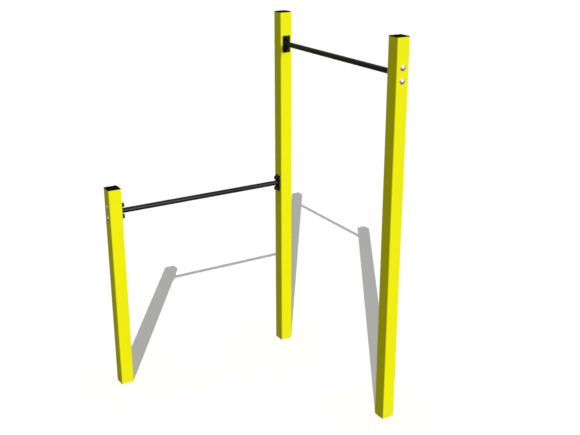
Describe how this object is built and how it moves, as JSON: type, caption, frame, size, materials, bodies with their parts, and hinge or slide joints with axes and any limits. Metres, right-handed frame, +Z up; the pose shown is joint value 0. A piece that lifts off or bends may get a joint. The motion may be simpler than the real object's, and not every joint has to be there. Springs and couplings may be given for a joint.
{
  "type": "monkey bars",
  "caption": "Playground bar frame: a low bar and a high bar at right angles between square posts, with end plates bolted through the posts, capped post tops and covered nuts.",
  "frame": {"origin": "centre of the middle post's foot, on the ground", "axes": "+Z up; the low bar runs from the middle post along -X, and the high bar along -Y"},
  "size_m": [1.4276, 1.4276, 2.52],
  "materials": {
    "post_paint": "bright yellow powder coat",
    "bar_paint": "black powder coat",
    "cap_plastic": "moulded black",
    "cover_plastic": "moulded black",
    "bolt_steel": "bright zinc",
    "inner_steel": "zinc"
  },
  "bodies": {
    "root": {"bolt_high_middle_lower": "bolt_steel", "bolt_high_middle_upper": "bolt_steel", "bolt_high_right_lower": "bolt_steel", "bolt_high_right_upper": "bolt_steel", "bolt_low_left_lower": "bolt_steel", "bolt_low_left_upper": "bolt_steel", "bolt_low_middle_lower": "bolt_steel", "bolt_low_middle_upper": "bolt_steel", "foot_plate_left": "inner_steel", "foot_plate_middle": "inner_steel", "foot_plate_right": "inner_steel", "high_bar_plate_middle": "bar_paint", "high_bar_plate_right": "bar_paint", "high_bar_tube": "bar_paint", "high_bar_weld_middle": "bar_paint", "high_bar_weld_right": "bar_paint", "low_bar_plate_left": "bar_paint", "low_bar_plate_middle": "bar_paint", "low_bar_tube": "bar_paint", "low_bar_weld_left": "bar_paint", "low_bar_weld_middle": "bar_paint", "nut_cover_high_middle_lower": "cover_plastic", "nut_cover_high_middle_upper": "cover_plastic", "nut_cover_high_right_lower": "cover_plastic", "nut_cover_high_right_upper": "cover_plastic", "nut_cover_low_left_lower": "cover_plastic", "nut_cover_low_left_upper": "cover_plastic", "nut_cover_low_middle_lower": "cover_plastic", "nut_cover_low_middle_upper": "cover_plastic", "nut_high_middle_lower": "inner_steel", "nut_high_middle_upper": "inner_steel", "nut_high_right_lower": "inner_steel", "nut_high_right_upper": "inner_steel", "nut_low_left_lower": "inner_steel", "nut_low_left_upper": "inner_steel", "nut_low_middle_lower": "inner_steel", "nut_low_middle_upper": "inner_steel", "post_cap_left": "cap_plastic", "post_cap_middle": "cap_plastic", "post_cap_right": "cap_plastic", "post_left": "post_paint", "post_middle": "post_paint", "post_right": "post_paint", "spacers_high_middle": "inner_steel", "spacers_high_right": "inner_steel", "spacers_low_left": "inner_steel", "spacers_low_middle": "inner_steel", "washers_high_middle": "inner_steel", "washers_high_right": "inner_steel", "washers_low_left": "inner_steel", "washers_low_middle": "inner_steel"}
  },
  "joints": []
}
